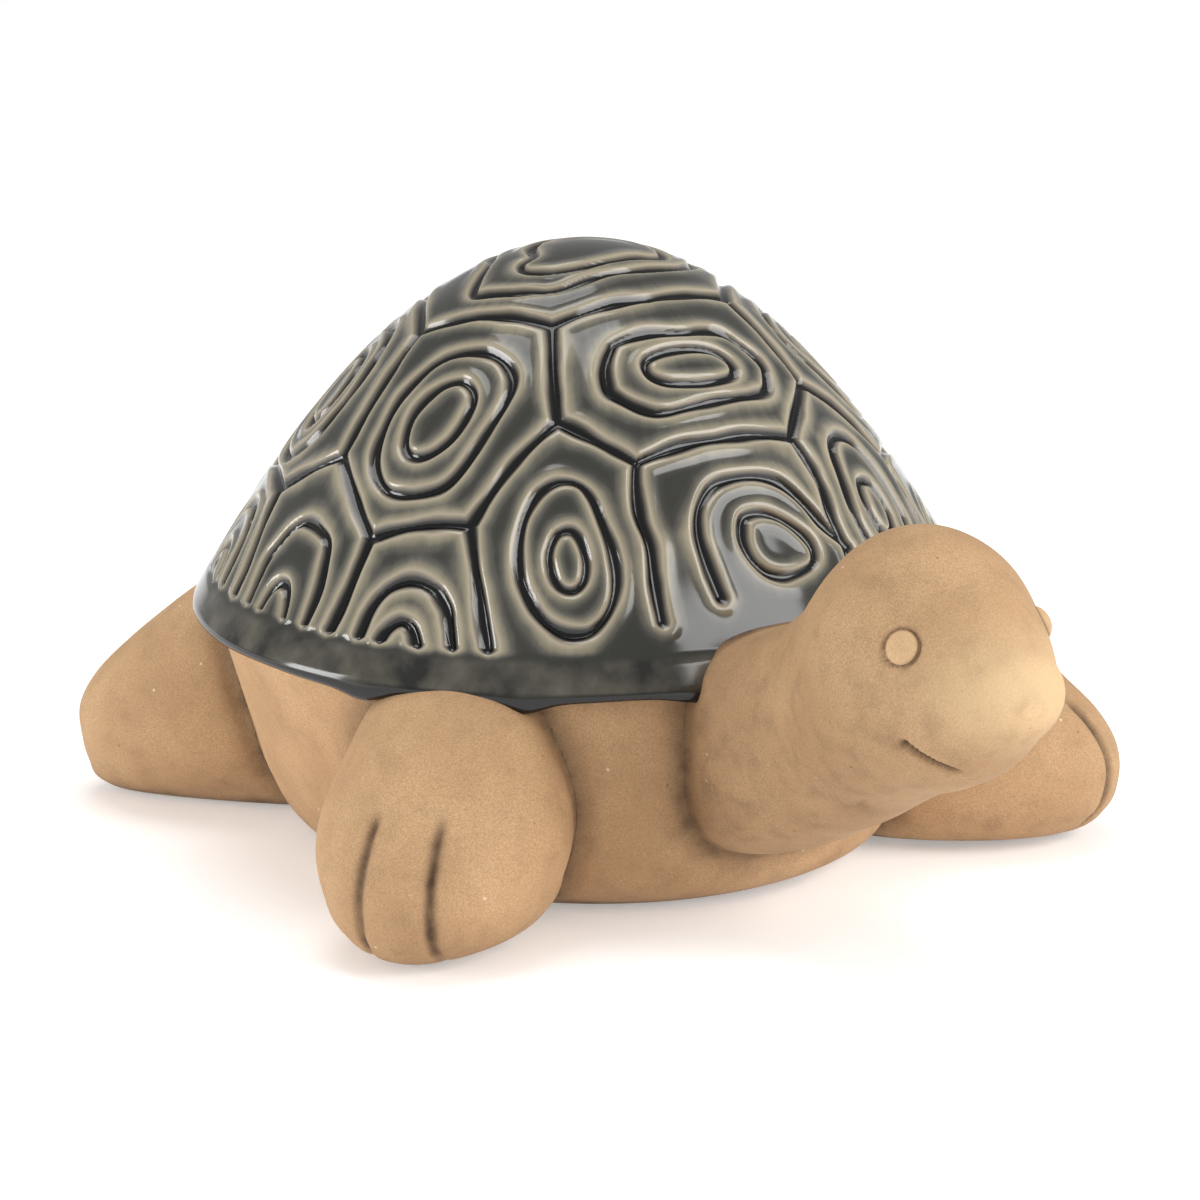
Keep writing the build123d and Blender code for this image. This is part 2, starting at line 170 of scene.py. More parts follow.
# brown wash in the creases and cuts, and painted shade low down and on the head, broken up by a
# noise of a few millimetres
break_up = node(tree, "ShaderNodeTexNoise", {
    "Vector": place, "Scale": 160.0, "Detail": 6.0}).outputs["Fac"]
uneven = node(tree, "ShaderNodeMapRange", {
    "Value": break_up, "From Min": 0.3, "From Max": 0.7,
    "To Min": 0.75, "To Max": 1.15}).outputs[0]
mottle = node(tree, "ShaderNodeMapRange", {
    "Value": break_up, "From Min": 0.5, "From Max": 0.75,
    "To Min": 0.0, "To Max": 0.14}).outputs[0]
wash_and_shade_share = node(tree, "ShaderNodeMath", {0: wash_and_shade, 1: uneven, 2: mottle}, operation="MULTIPLY_ADD",
              use_clamp=True).outputs[0]
stained_and_shaded = node(tree, "ShaderNodeMix", {
    "Factor": wash_and_shade_share, "A": rubbed_and_highlighted.outputs["Result"], "B": linear("#4B3521")}, data_type="RGBA")
bumps = node(tree, "ShaderNodeBump", {"Height": grain, "Strength": 0.25, "Distance": 0.0002})
shader = node(tree, "ShaderNodeBsdfPrincipled", {
    "Base Color": stained_and_shaded.outputs["Result"], "Roughness": 0.78, "IOR": 1.5,
    "Normal": bumps.outputs[0]})
node(tree, "ShaderNodeOutputMaterial", {"Surface": shader.outputs[0]})

# measured sections of the body, and of its limbs, as the joints need both
body_table = {"height": (0, 5, 13.8, 27.7, 42, 55.3, 60),
              "half_width": (58, 63.8, 68.9, 73.9, 79, 84, 85),
              "half_length": (61.6, 71.9, 78.2, 80.6, 80.6, 79, 78.5)}
front_leg_table = {"height": (0, 2.8, 7.2, 13.8, 21, 28.8, 36.5, 45.3, 55.3, 60),
                   "outer": (105.5, 113.5, 118.6, 121, 120.4, 115.7, 107.9, 101.6, 86.5, 80),
                   "half_width": (7.4, 16.2, 21.5, 24.5, 26.5, 26.5, 24.5, 21, 18, 16)}
rear_leg_table = {"height": (0, 2.8, 7.2, 13.8, 21, 28.8, 36.5, 45.3, 55.3, 60),
                  "outer": (110, 114.9, 116.9, 118.2, 118.3, 114.1, 106.7, 96.6, 84.4, 80),
                  "half_width": (5, 9.4, 14.9, 20.6, 23.4, 23.9, 22.1, 18.2, 12.2, 9)}
head_table = {"reach": (60, 72, 84, 95, 105, 115, 125, 135,
                        145, 155, 159.9, 165.2, 168.2, 169, 169.4, 169.5),
              "top": (61, 64, 67.1, 72.2, 80.9, 92.6, 97.9, 97.5,
                      93, 87.3, 82.2, 77.7, 72.6, 71.1, 69.9, 69.1),
              "bottom": (12, 13.9, 16.1, 20.4, 25.5, 30.5, 36.6, 42,
                         45.9, 51.7, 56.5, 61.2, 65.1, 66.6, 67.8, 68.7),
              "half_width": (22.6, 23.2, 23.8, 22.8, 22, 23.3, 25.8, 25.5,
                             21.4, 16.1, 13.2, 10.4, 6, 3.7, 1.6, 0.4)}
neck_root, snout_end = 56, 169.5
tail_table = {"reach": (50, 60, 78, 84, 90, 95, 99, 102, 104),
              "half_width": (9.2, 9, 7.8, 7.0, 5.9, 4.9, 3.6, 2.2, 0.4),
              "half_height": (8.2, 8, 6.9, 6.2, 5.3, 4.3, 3.2, 2.0, 0.4)}
tail_root, tail_end, tail_height = 56, 104.2, 24


def fair(places, values):
    """A smooth curve through a table, as closely spaced values."""
    x, y = np.array(places, float), np.array(values, float)
    slope = np.gradient(y, x)
    fine = np.linspace(x[0], x[-1], 500)
    i = np.clip(np.searchsorted(x, fine) - 1, 0, len(x) - 2)
    run = x[i + 1] - x[i]
    t = (fine - x[i]) / run
    curve = ((2 * t**3 - 3 * t**2 + 1) * y[i] + (t**3 - 2 * t**2 + t) * run * slope[i]
             + (3 * t**2 - 2 * t**3) * y[i + 1] + (t**3 - t**2) * run * slope[i + 1])
    return fine, curve


def bowl_form(table):
    """A bowl as ellipses one above the other: below 0 inside it, above 0 outside."""
    wide = fair(table["height"], table["half_width"])
    long = fair(table["height"], table["half_length"])

    def form(p):
        across, along = np.interp(p[:, 2], *wide), np.interp(p[:, 2], *long)
        return np.hypot(p[:, 0] / across, p[:, 1] / along) - 1
    return form


def lobe_form(table, angle, side, heel):
    """A leg that stands out at an angle from the front, as ellipses one above the other."""
    outer = fair(table["height"], table["outer"])
    wide = fair(table["height"], table["half_width"])
    out = (side * math.sin(math.radians(angle)), -math.cos(math.radians(angle)))

    def form(p):
        reach = np.interp(p[:, 2], *outer)
        along = p[:, 0] * out[0] + p[:, 1] * out[1] - (reach + heel) / 2
        across = p[:, 1] * out[0] - p[:, 0] * out[1]
        return np.hypot(along / ((reach - heel) / 2), across / np.interp(p[:, 2], *wide)) - 1
    return form


def neck_form(p):
    """Neck and head: rounded sections one before the other, squarer where the neck starts."""
    reach = -p[:, 1]
    top = np.interp(reach, *fair(head_table["reach"], head_table["top"]))
    bottom = np.interp(reach, *fair(head_table["reach"], head_table["bottom"]))
    wide = np.interp(reach, *fair(head_table["reach"], head_table["half_width"]))
    square = np.interp(reach, (78, 108), (3.0, 2.0))
    across = np.abs(p[:, 0]) / wide
    up = np.abs(p[:, 2] - (top + bottom) / 2) / ((top - bottom) / 2)
    ring = (across**square + up**square) ** (1 / square) - 1
    return np.maximum(np.maximum(ring, (neck_root - reach) / 20), (reach - snout_end) / 5)


def tail_form(p):
    """A stub that tapers to a round end."""
    wide = np.interp(p[:, 1], *fair(tail_table["reach"], tail_table["half_width"]))
    high = np.interp(p[:, 1], *fair(tail_table["reach"], tail_table["half_height"]))
    ring = np.hypot(p[:, 0] / wide, (p[:, 2] - tail_height) / high) - 1
    return np.maximum(np.maximum(ring, (tail_root - p[:, 1]) / 20), (p[:, 1] - tail_end) / 5)


def distance(form, p):
    """How far each point is from a form, right close to its surface."""
    value = form(p)
    steepness = np.zeros(len(p), np.float32)
    for axis in range(3):
        moved = p.copy()
        moved[:, axis] += 0.4
        steepness += ((form(moved) - value) / 0.4) ** 2
    return value / np.maximum(np.sqrt(steepness), 0.004)


def softened(a, b, width):
    """The lesser of two distances, with a fillet of that width between them."""
    share = np.clip(0.5 + 0.5 * (b - a) / width, 0, 1)
    return b + (a - b) * share - width * share * (1 - share)


joint_fillet = 3.0
joint_overlap = 1.2
under_slope = 0.45
foot_rounding = 1.6
crease_depth = 0.9
crease_spread, stain_spread = 7.0, 22.0
front_leg_angle = 52.6
rear_leg_angle = 136.1
leg_heel = 52.0
body_form = bowl_form(body_table)
limb_forms = {
    "head": neck_form,
    "leg_front_left": lobe_form(front_leg_table, front_leg_angle, 1, leg_heel),
    "leg_front_right": lobe_form(front_leg_table, front_leg_angle, -1, leg_heel),
    "leg_rear_left": lobe_form(rear_leg_table, rear_leg_angle, 1, leg_heel),
    "leg_rear_right": lobe_form(rear_leg_table, rear_leg_angle, -1, leg_heel),
    "tail": tail_form,
}


def clay_field(own, others):
    """The outside of one clay piece, closed just past its joints with its neighbours."""
    def field(p):
        mine = distance(own, p)
        theirs = np.min([distance(form, p) for form in others], axis=0)
        past = mine - theirs
        whole = softened(mine, theirs, joint_fillet)
        whole = np.maximum(whole + under_slope * np.maximum(past, 0), past - joint_overlap)
        whole = -softened(-whole, p[:, 2], foot_rounding)
        return whole
    return field


def net(field, low, high, step):
    """A closed mesh of the surface where the field is zero, one corner in each cell it passes."""
    counts = [int(math.ceil((high[axis] - low[axis]) / step)) + 1 for axis in range(3)]
    axes = [low[axis] + step * np.arange(counts[axis], dtype=np.float32) for axis in range(3)]
    grid = np.stack(np.meshgrid(*axes, indexing="ij"), -1).reshape(-1, 3).astype(np.float32)
    value = np.concatenate([field(part) for part in np.array_split(grid, 1 + len(grid) // 400000)])
    value = value.reshape(counts)
    inside = value < 0
    cells = [slice(None, -1), slice(1, None)]
    filled = sum(inside[cells[a], cells[b], cells[c]].astype(np.int8)
                 for a in (0, 1) for b in (0, 1) for c in (0, 1))
    active = (filled > 0) & (filled < 8)
    number = np.full(active.shape, -1, np.int64)
    number[active] = np.arange(active.sum())
    where = np.argwhere(active)
    total, hits = np.zeros((len(where), 3)), np.zeros(len(where))
    for axis in range(3):
        for first in (0, 1):
            for second in (0, 1):
                start = np.insert([first, second], axis, 0)
                end = np.insert([first, second], axis, 1)
                a = value[tuple((where + start).T)]
                b = value[tuple((where + end).T)]
                crossed = (a < 0) != (b < 0)
                share = np.where(crossed, a / np.where(crossed, a - b, 1), 0)
                point = where + start + np.outer(share, end - start)
                total[crossed] += point[crossed]
                hits[crossed] += 1
    points = np.array(low) + step * total / hits[:, None]
    faces = []
    for axis in range(3):
        one, two = [other for other in range(3) if other != axis]
        lower = [slice(None)] * 3
        upper = [slice(None)] * 3
        lower[axis], upper[axis] = slice(None, -1), slice(1, None)
        a, b = inside[tuple(lower)], inside[tuple(upper)]
        edges = np.argwhere(a != b)
        keep = (edges[:, one] > 0) & (edges[:, two] > 0)
        edges = edges[keep & (edges[:, one] < counts[one] - 1) & (edges[:, two] < counts[two] - 1)]
        corners = []
        for back_one, back_two in ((0, 0), (1, 0), (1, 1), (0, 1)):
            cell = edges.copy()
            cell[:, one] -= back_one
            cell[:, two] -= back_two
            corners.append(number[tuple(cell.T)])
        quads = np.stack(corners, -1)
        turned = a[tuple(edges.T)]
        if axis == 1:
            turned = ~turned
        quads[~turned] = quads[~turned][:, ::-1]
        faces.append(quads)
    return points, np.concatenate(faces)


def slope_of(field, points):
    """The direction in which the field grows at each point."""
    grown = [field((points + offset).astype(np.float32))
             - field((points - offset).astype(np.float32)) for offset in np.eye(3) * 0.25]
    grown = np.stack(grown, -1).astype(float)
    return grown / np.maximum(np.linalg.norm(grown, axis=1, keepdims=True), 1e-9)


def make_piece(name, points, faces, material, values):
    """A mesh object in metres with named values at its corners."""
    mesh = bpy.data.meshes.new(name)
    mesh.from_pydata((points * 0.001).tolist(), [], faces)
    mesh.validate()
    for key, numbers in values.items():
        kind, slot = ("FLOAT", "value") if numbers.ndim == 1 else ("FLOAT_VECTOR", "vector")
        stored = mesh.attributes.new(key, kind, "POINT")
        stored.data.foreach_set(slot, numbers.astype(np.float32).ravel())
    mesh.materials.append(material)
    mesh.shade_smooth()
    piece = bpy.data.objects.new(name, mesh)
    bpy.context.scene.collection.objects.link(piece)
    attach(piece, "root")
    return piece


def clay_piece(name, own, others, low, high, step, tooling):
    """One clay piece: its smooth form, then what a tool pressed or cut into it."""
    field = clay_field(own, others)
    points, faces = net(field, low, high, step)
    for _ in range(2):
        normal = slope_of(field, points)
        points = points - normal * np.clip(field(points.astype(np.float32)), -step, step)[:, None]
    normal = slope_of(field, points)
    mine = distance(own, points.astype(np.float32))
    theirs = np.min([distance(form, points.astype(np.float32)) for form in others], axis=0)
    # how close each point is to a joint: the tooled crease, and the wider stain round it
    off_joint = mine**2 + theirs**2
    joint = np.exp(-off_joint / crease_spread)
    wide_joint = np.exp(-off_joint / stain_spread)
    cut, wash_and_shade, rub_and_highlight = tooling(points)
    # painted shade along the ground: a dark line at the foot, and a wide faint shade above it
    painted_foot_shade = 0.55 * np.exp(-(points[:, 2] / 2.5) ** 2) + 0.22 * np.exp(-(points[:, 2] / 14.0) ** 2)
    wash_and_shade = np.clip(np.maximum.reduce([wash_and_shade, 0.85 * joint, 0.45 * wide_joint, painted_foot_shade]), 0, 1)
    above_ground = np.clip(points[:, 2] / 2.0, 0, 1)
    points = points - normal * (cut + crease_depth * joint * above_ground)[:, None]
    marks = {"wash_and_shade": wash_and_shade, "rub_and_highlight": np.clip(rub_and_highlight, 0, 1)}
    return make_piece(name, points, faces.tolist(), clay, marks)


def plain(points):
    """No tool marks: no cut, no wash or painted shade, and no rubbed place or painted highlight.
    """
    nothing = np.zeros(len(points))
    return nothing, nothing, nothing


def to_line(points, line):
    """The distance of each point from a line of straight runs."""
    best = np.full(len(points), 1e9)
    for start, end in zip(line[:-1], line[1:]):
        run = np.array(end, float) - start
        share = np.clip(((points - start) @ run) / (run @ run), 0, 1)
        best = np.minimum(best, np.linalg.norm(points - start - np.outer(share, run), axis=1))
    return best


body_spacing = 1.05
body = clay_piece("body_bowl", body_form, list(limb_forms.values()),
                  (-90, -86, -2.2), (90, 86, 60), body_spacing, plain)
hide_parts("body")

# Legs: four hollow lobes of the same clay, pressed on and luted to the body under the rim.
# The paws of the front ones have two grooves each, drawn down with the side of a stick,
# which part three toes.
toe_groove_angles = (48.3, 55.8)
toe_groove_top = 35.0
toe_groove_depth = 1.1
front_leg_spacing, rear_leg_spacing = 0.7, 0.8


def toes(side):
    """The grooves between the toes of the front leg on one side."""
    def tooling(points):
        angle = np.degrees(np.arctan2(side * points[:, 0], -points[:, 1]))
        radius = np.hypot(points[:, 0], points[:, 1])
        height = points[:, 2]
        outside = np.clip((radius - 92) / 6, 0, 1)
        span = np.clip((toe_groove_top - height) / 3, 0, 1) * np.clip((height - 1) / 5, 0, 1)
        cut, wash_and_shade = np.zeros(len(points)), np.zeros(len(points))
        for middle in toe_groove_angles:
            off = np.radians(angle - middle) * radius
            cut = np.maximum(cut, toe_groove_depth * np.exp(-(off / 1.1) ** 2) * span * outside)
            wash_and_shade = np.maximum(wash_and_shade, 0.85 * np.exp(-(off / 1.3) ** 2) * span * outside)
        return cut, wash_and_shade, np.zeros(len(points))
    return tooling


for side, word in ((1, "left"), (-1, "right")):
    low = (min(38 * side, 112 * side), -98, -1.6)
    high = (max(38 * side, 112 * side), -18, 60)
    name = "leg_front_" + word
    leg = clay_piece(name + "_paw", limb_forms[name], [body_form], low, high,
                     front_leg_spacing, toes(side))
    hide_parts(name)
    low = (min(30 * side, 104 * side), 28, -1.6)
    high = (max(30 * side, 104 * side), 102, 60)
    name = "leg_rear_" + word
    leg = clay_piece(name + "_lobe", limb_forms[name], [body_form], low, high,
                     rear_leg_spacing, plain)
    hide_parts(name)

# Tail: a short pulled stub of the same clay at the middle of the back, luted on
# as the legs are
tail_spacing = 0.5
tail = clay_piece("tail_stub", tail_form, [body_form], (-16, 60, 8), (16, 108, 40),
                  tail_spacing, plain)
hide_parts("tail")

# Head and neck: one hollow pinched form that rises out of the front of the body.
# The mouth is a slit cut with a knife on each side; the muzzle is rubbed paler and painted paler
# still as a highlight, and the head's sides and underside are painted with shade.
mouth_line = [
    (17.2, -148.0, 59.1), (16.4, -149.3, 58.3), (15.0, -150.4, 57.0), (12.4, -152.1, 55.3),
    (9.6, -153.6, 54.0), (7.4, -154.3, 53.1)]
throat_fold = [
    (16.7, -121.6, 42.4), (14.0, -120.3, 39.2), (11.4, -120.3, 37.3), (10.5, -122.6, 37.9),
    (11.3, -126.2, 40.3)]
eye_place = np.array((17.5, -147.2, 79.6))
eye_seat_radius = 4.0
head_spacing = 0.7


def head_tooling(points):
    """The mouth, the fold at the throat, the eyes' seats, the muzzle rubbed paler with a painted
    highlight, and painted shade on the head's sides and underside.
    """
    folded = points.copy()
    folded[:, 0] = np.abs(folded[:, 0])
    slit = to_line(folded, mouth_line)
    corner = np.linalg.norm(folded - mouth_line[0], axis=1)
    fold = to_line(folded, throat_fold)
    deep = np.clip((folded[:, 0] - 5) / 6, 0.3, 1)
    seat = np.linalg.norm(folded - eye_place, axis=1)
    cut = np.maximum.reduce([
        1.7 * deep * np.exp(-(slit / 0.8) ** 2), 1.9 * np.exp(-(corner / 1.3) ** 2),
        0.4 * np.exp(-(fold / 1.2) ** 2), 0.6 * np.exp(-((seat - eye_seat_radius) / 0.5) ** 2)])
    wash_and_shade = np.maximum.reduce([
        1.2 * deep * np.exp(-(slit / 0.75) ** 2), 1.1 * np.exp(-(corner / 1.2) ** 2),
        0.35 * np.exp(-(fold / 1.2) ** 2), 0.75 * np.exp(-((seat - eye_seat_radius) / 0.35) ** 2)])
    # painted highlight: the muzzle is made paler, partly rubbed wear and partly light falling on
    # it
    muzzle = np.exp(-((points[:, 1] + 168) / 14) ** 2) * np.exp(-((points[:, 2] - 74) / 12) ** 2)
    # painted shade: the head's sides and its lower part are darker, as if turned from the light
    painted_side_shade = (0.10 * np.clip((np.abs(points[:, 0]) - 4) / 14, 0, 1)
             + 0.22 * np.clip((84 - points[:, 2]) / 40, 0, 1))
    return cut, np.maximum(wash_and_shade, painted_side_shade * (1 - muzzle)), 0.55 * muzzle


head = clay_piece("head_and_neck", neck_form, [body_form], (-31, -173, 8), (31, -56, 102),
                  head_spacing, head_tooling)
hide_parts("head")

# Eyes: two flat-domed buttons of the same clay, stuck on with slip, each in a ring
# that the end of a tube pressed into the head
eye_profile = [
    (0, 2.1), (0.8, 2.03), (1.6, 1.82), (2.3, 1.5), (2.8, 1.17), (3.2, 0.81), (3.5, 0.42),
    (3.68, 0.0), (3.72, -0.6), (3.6, -1.4), (0, -1.5)]
eye_turns = 72
eye_outward = (0.84, -0.36, 0.40)
for side, word in ((1, "left"), (-1, "right")):
    points, faces = [(0, 0, eye_profile[0][1])], []
    for radius, rise in eye_profile[1:-1]:
        for turn in range(eye_turns):
            angle = 2 * math.pi * turn / eye_turns
            points.append((radius * math.cos(angle), radius * math.sin(angle), rise))
    points.append((0, 0, eye_profile[-1][1]))
    rings = len(eye_profile) - 2
    for turn in range(eye_turns):
        after = (turn + 1) % eye_turns
        faces.append((0, 1 + turn, 1 + after))
        for ring in range(rings - 1):
            upper, lower = 1 + ring * eye_turns, 1 + (ring + 1) * eye_turns
            faces.append((upper + turn, lower + turn, lower + after, upper + after))
        bottom = 1 + (rings - 1) * eye_turns
        faces.append((bottom + turn, len(points) - 1, bottom + after))
    points = np.array(points, float)
    reach = np.hypot(points[:, 0], points[:, 1])
    towards = Vector((side * eye_outward[0], *eye_outward[1:])).normalized()
    turned = towards.to_track_quat("Z", "Y").to_matrix()
    centre = eye_place * (side, 1, 1)
    placed = points @ np.array(turned).T + centre
    wash_and_shade = np.exp(-((reach - 3.75) / 0.2) ** 2)
    # the whole button is painted a little paler as a slight highlight, with a dark ring of wash at
    # its edge
    eye = make_piece("eye_button_" + word, placed, faces, clay,
                     {"wash_and_shade": np.clip(wash_and_shade, 0, 0.9), "rub_and_highlight": 0.25 * np.ones(len(points))})
    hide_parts("eye_" + word)

# Shell: a hollow dome, carved while leather-hard with a small loop tool: a groove round
# each scute and rings inside it. A thick glaze pools in the cuts and thins on their edges.
shell_half_width, shell_half_length, shell_foot, shell_rise = 88.0, 83.0, 55.3, 79.0
shell_spacing = 0.65
border_lines = [
    [(-0.196, -0.544), (-0.219, -0.584), (-0.239, -0.636), (-0.244, -0.693),
     (-0.264, -0.756), (-0.283, -0.83)],
    [(-0.30, -0.393), (-0.25, -0.47), (-0.196, -0.544)],
    [(-0.30, -0.393), (-0.43, -0.405), (-0.553, -0.43)],
    [(-0.30, -0.393), (-0.25, -0.30), (-0.195, -0.21)],
    [(-0.553, -0.43), (-0.584, -0.487), (-0.619, -0.561), (-0.656, -0.641), (-0.69, -0.70)],
    [(-0.553, -0.43), (-0.63, -0.33), (-0.711, -0.235)],
    [(-0.711, -0.235), (-0.771, -0.254), (-0.846, -0.271), (-0.926, -0.28), (-0.97, -0.285)],
    [(-0.711, -0.235), (-0.67, -0.12), (-0.62, -0.003)],
    [(-0.62, -0.003), (-0.48, 0.02), (-0.35, 0.046)],
    [(-0.62, -0.003), (-0.66, 0.09), (-0.70, 0.191)],
    [(-0.70, 0.191), (-0.771, 0.177), (-0.829, 0.163), (-0.886, 0.15), (-0.971, 0.149)],
    [(-0.35, 0.046), (-0.27, -0.08), (-0.195, -0.21)],
    [(-0.35, 0.046), (-0.27, 0.16), (-0.195, 0.266)],
    [(-0.195, -0.21), (-0.1, -0.22), (0, -0.231)],
    [(-0.196, -0.544), (-0.086, -0.546), (0, -0.549)],
    [(-0.195, 0.266), (-0.1, 0.28), (0, 0.285)],
    [(-0.196, 0.60), (-0.086, 0.602), (0, 0.605)],
    [(-0.195, 0.266), (-0.25, 0.356), (-0.30, 0.449)],
    [(-0.30, 0.449), (-0.25, 0.526), (-0.196, 0.60)],
    [(-0.30, 0.449), (-0.43, 0.461), (-0.553, 0.486)],
    [(-0.553, 0.486), (-0.63, 0.34), (-0.70, 0.191)],
    [(-0.553, 0.486), (-0.584, 0.543), (-0.619, 0.617), (-0.67, 0.70)],
    [(-0.196, 0.60), (-0.239, 0.692), (-0.264, 0.812), (-0.29, 0.90)],
]
costal_front = [
    (-0.407, -0.487), (-0.361, -0.493), (-0.327, -0.521), (-0.316, -0.561),
    (-0.319, -0.607), (-0.327, -0.676), (-0.35, -0.727), (-0.39, -0.761), (-0.441, -0.77),
    (-0.487, -0.75), (-0.519, -0.71), (-0.533, -0.659), (-0.53, -0.607), (-0.516, -0.573),
    (-0.487, -0.533), (-0.453, -0.504)]
costal_front_inner = [
    (-0.407, -0.576), (-0.384, -0.59), (-0.379, -0.619), (-0.39, -0.659), (-0.413, -0.684),
    (-0.441, -0.684), (-0.461, -0.664), (-0.464, -0.636), (-0.453, -0.601), (-0.43, -0.581)]
costal_second = [
    (-0.463, -0.063), (-0.4, -0.077), (-0.354, -0.111), (-0.32, -0.163), (-0.309, -0.214),
    (-0.32, -0.26), (-0.36, -0.289), (-0.429, -0.311), (-0.497, -0.326), (-0.543, -0.32),
    (-0.583, -0.289), (-0.611, -0.249), (-0.626, -0.203), (-0.62, -0.157), (-0.6, -0.117),
    (-0.566, -0.089), (-0.514, -0.069)]
costal_second_inner = [
    (-0.457, -0.131), (-0.417, -0.143), (-0.391, -0.169), (-0.386, -0.203), (-0.4, -0.231),
    (-0.44, -0.249), (-0.486, -0.254), (-0.526, -0.237), (-0.549, -0.203), (-0.546, -0.169),
    (-0.52, -0.143), (-0.491, -0.131)]
brow = [
    (-0.109, -0.309), (-0.04, -0.311), (0.029, -0.32), (0.114, -0.317), (0.154, -0.337),
    (0.194, -0.377), (0.194, -0.411), (0.166, -0.451), (0.086, -0.469), (-0.029, -0.477),
    (-0.097, -0.474), (-0.137, -0.451), (-0.171, -0.411), (-0.177, -0.389), (-0.16, -0.349),
    (-0.131, -0.32)]
brow_inner = [
    (-0.069, -0.363), (0, -0.357), (0.074, -0.366), (0.111, -0.394), (0.097, -0.423),
    (0.029, -0.434), (-0.04, -0.426), (-0.077, -0.406), (-0.086, -0.383)]
nape = [
    (-0.126, -0.834), (-0.131, -0.771), (-0.126, -0.714), (-0.103, -0.669),
    (-0.057, -0.637), (0, -0.629), (0.074, -0.631), (0.126, -0.646), (0.171, -0.68),
    (0.211, -0.72), (0.274, -0.754)]
nape_inner = [
    (0, -0.703), (0.04, -0.7), (0.09, -0.713), (0.135, -0.74), (0.158, -0.768),
    (0.15, -0.797), (0.109, -0.815), (0.057, -0.823), (0.011, -0.811), (-0.017, -0.783),
    (-0.026, -0.749), (-0.017, -0.72)]
crown = [
    (-0.146, 0.091), (-0.214, 0.034), (-0.24, 0), (-0.22, -0.046), (-0.18, -0.097),
    (-0.134, -0.137), (-0.043, -0.143), (0.043, -0.143), (0.117, -0.131), (0.17, -0.1),
    (0.22, -0.046), (0.235, 0.01), (0.2, 0.06), (0.14, 0.13), (0.06, 0.18), (-0.04, 0.18),
    (-0.11, 0.14)]
crown_inner = [
    (-0.1, 0.006), (-0.134, -0.006), (-0.146, -0.034), (-0.129, -0.069), (-0.1, -0.091),
    (-0.043, -0.103), (0.043, -0.097), (0.117, -0.086), (0.14, -0.03), (0.13, 0.03),
    (0.08, 0.08), (0, 0.09), (-0.07, 0.06)]
rim_front = [
    (-0.914, -0.371), (-0.857, -0.363), (-0.8, -0.351), (-0.754, -0.36), (-0.72, -0.386),
    (-0.697, -0.42), (-0.684, -0.456), (-0.681, -0.481), (-0.684, -0.516), (-0.699, -0.544),
    (-0.724, -0.59), (-0.75, -0.64)]
rim_front_inner = [
    (-0.90, -0.45), (-0.869, -0.437), (-0.834, -0.421), (-0.8, -0.421), (-0.771, -0.44),
    (-0.763, -0.471), (-0.771, -0.5), (-0.79, -0.54), (-0.82, -0.58)]
rim_side = [
    (-0.971, 0.06), (-0.92, 0.063), (-0.846, 0.069), (-0.806, 0.051), (-0.771, 0.026),
    (-0.754, -0.009), (-0.754, -0.066), (-0.766, -0.123), (-0.806, -0.157), (-0.851, -0.18),
    (-0.909, -0.191), (-0.971, -0.194)]
rim_side_inner = [
    (-0.983, 0.003), (-0.926, 0), (-0.891, -0.009), (-0.871, -0.031), (-0.871, -0.06),
    (-0.891, -0.089), (-0.926, -0.109), (-0.983, -0.126)]
rim_rear = [
    (-0.94, 0.252), (-0.886, 0.254), (-0.8, 0.26), (-0.743, 0.289), (-0.71, 0.34),
    (-0.70, 0.40), (-0.715, 0.46), (-0.75, 0.51), (-0.80, 0.56)]
rim_rear_inner = [
    (-0.92, 0.33), (-0.86, 0.335), (-0.81, 0.35), (-0.785, 0.39), (-0.79, 0.43),
    (-0.82, 0.465), (-0.86, 0.50)]


def mirrored(line):
    """The same line on the other side of the shell."""
    return [(-x, y) for x, y in line]


def to_rear(line):
    """The pattern behind the middle of the shell repeats the one before it."""
    return [(x, 0.056 - y) for x, y in line]


def closed(line):
    """A line that comes back to its first point."""
    return line + line[:1]


side_rings = [closed(costal_front), closed(costal_front_inner), closed(costal_second),
              closed(costal_second_inner), closed(to_rear(costal_second)),
              closed(to_rear(costal_second_inner)), closed(to_rear(costal_front)),
              closed(to_rear(costal_front_inner)), rim_front, rim_front_inner, rim_side,
              rim_side_inner, rim_rear, rim_rear_inner]
ring_lines = side_rings + [mirrored(line) for line in side_rings] + [
    closed(brow), closed(brow_inner), closed(to_rear(brow)), closed(to_rear(brow_inner)), nape,
    closed(nape_inner), to_rear(nape), closed(to_rear(nape_inner)), closed(crown),
    closed(crown_inner)]
border_lines = border_lines + [mirrored(line) for line in border_lines]

# lengths along the dome from its top, and the share of the half width reached there
mean_radius = (shell_half_width + shell_half_length) / 2
shares = np.linspace(0, 1, 1001)
speeds = mean_radius * np.sqrt(1 + (2 * shell_rise * shares / mean_radius) ** 2)
arc = np.concatenate([[0], np.cumsum((speeds[1:] + speeds[:-1]) / 2 * np.diff(shares))])


def on_shell(plan):
    """Points of the dome from places measured along its surface, apex 0 to rim 1."""
    length = np.linalg.norm(plan, axis=1)
    share = np.interp(length * arc[-1], arc, shares)
    flat = plan / np.maximum(length, 1e-9)[:, None] * share[:, None]
    return np.stack([shell_half_width * flat[:, 0], shell_half_length * flat[:, 1],
                     shell_foot + shell_rise * (1 - share**2)], -1)


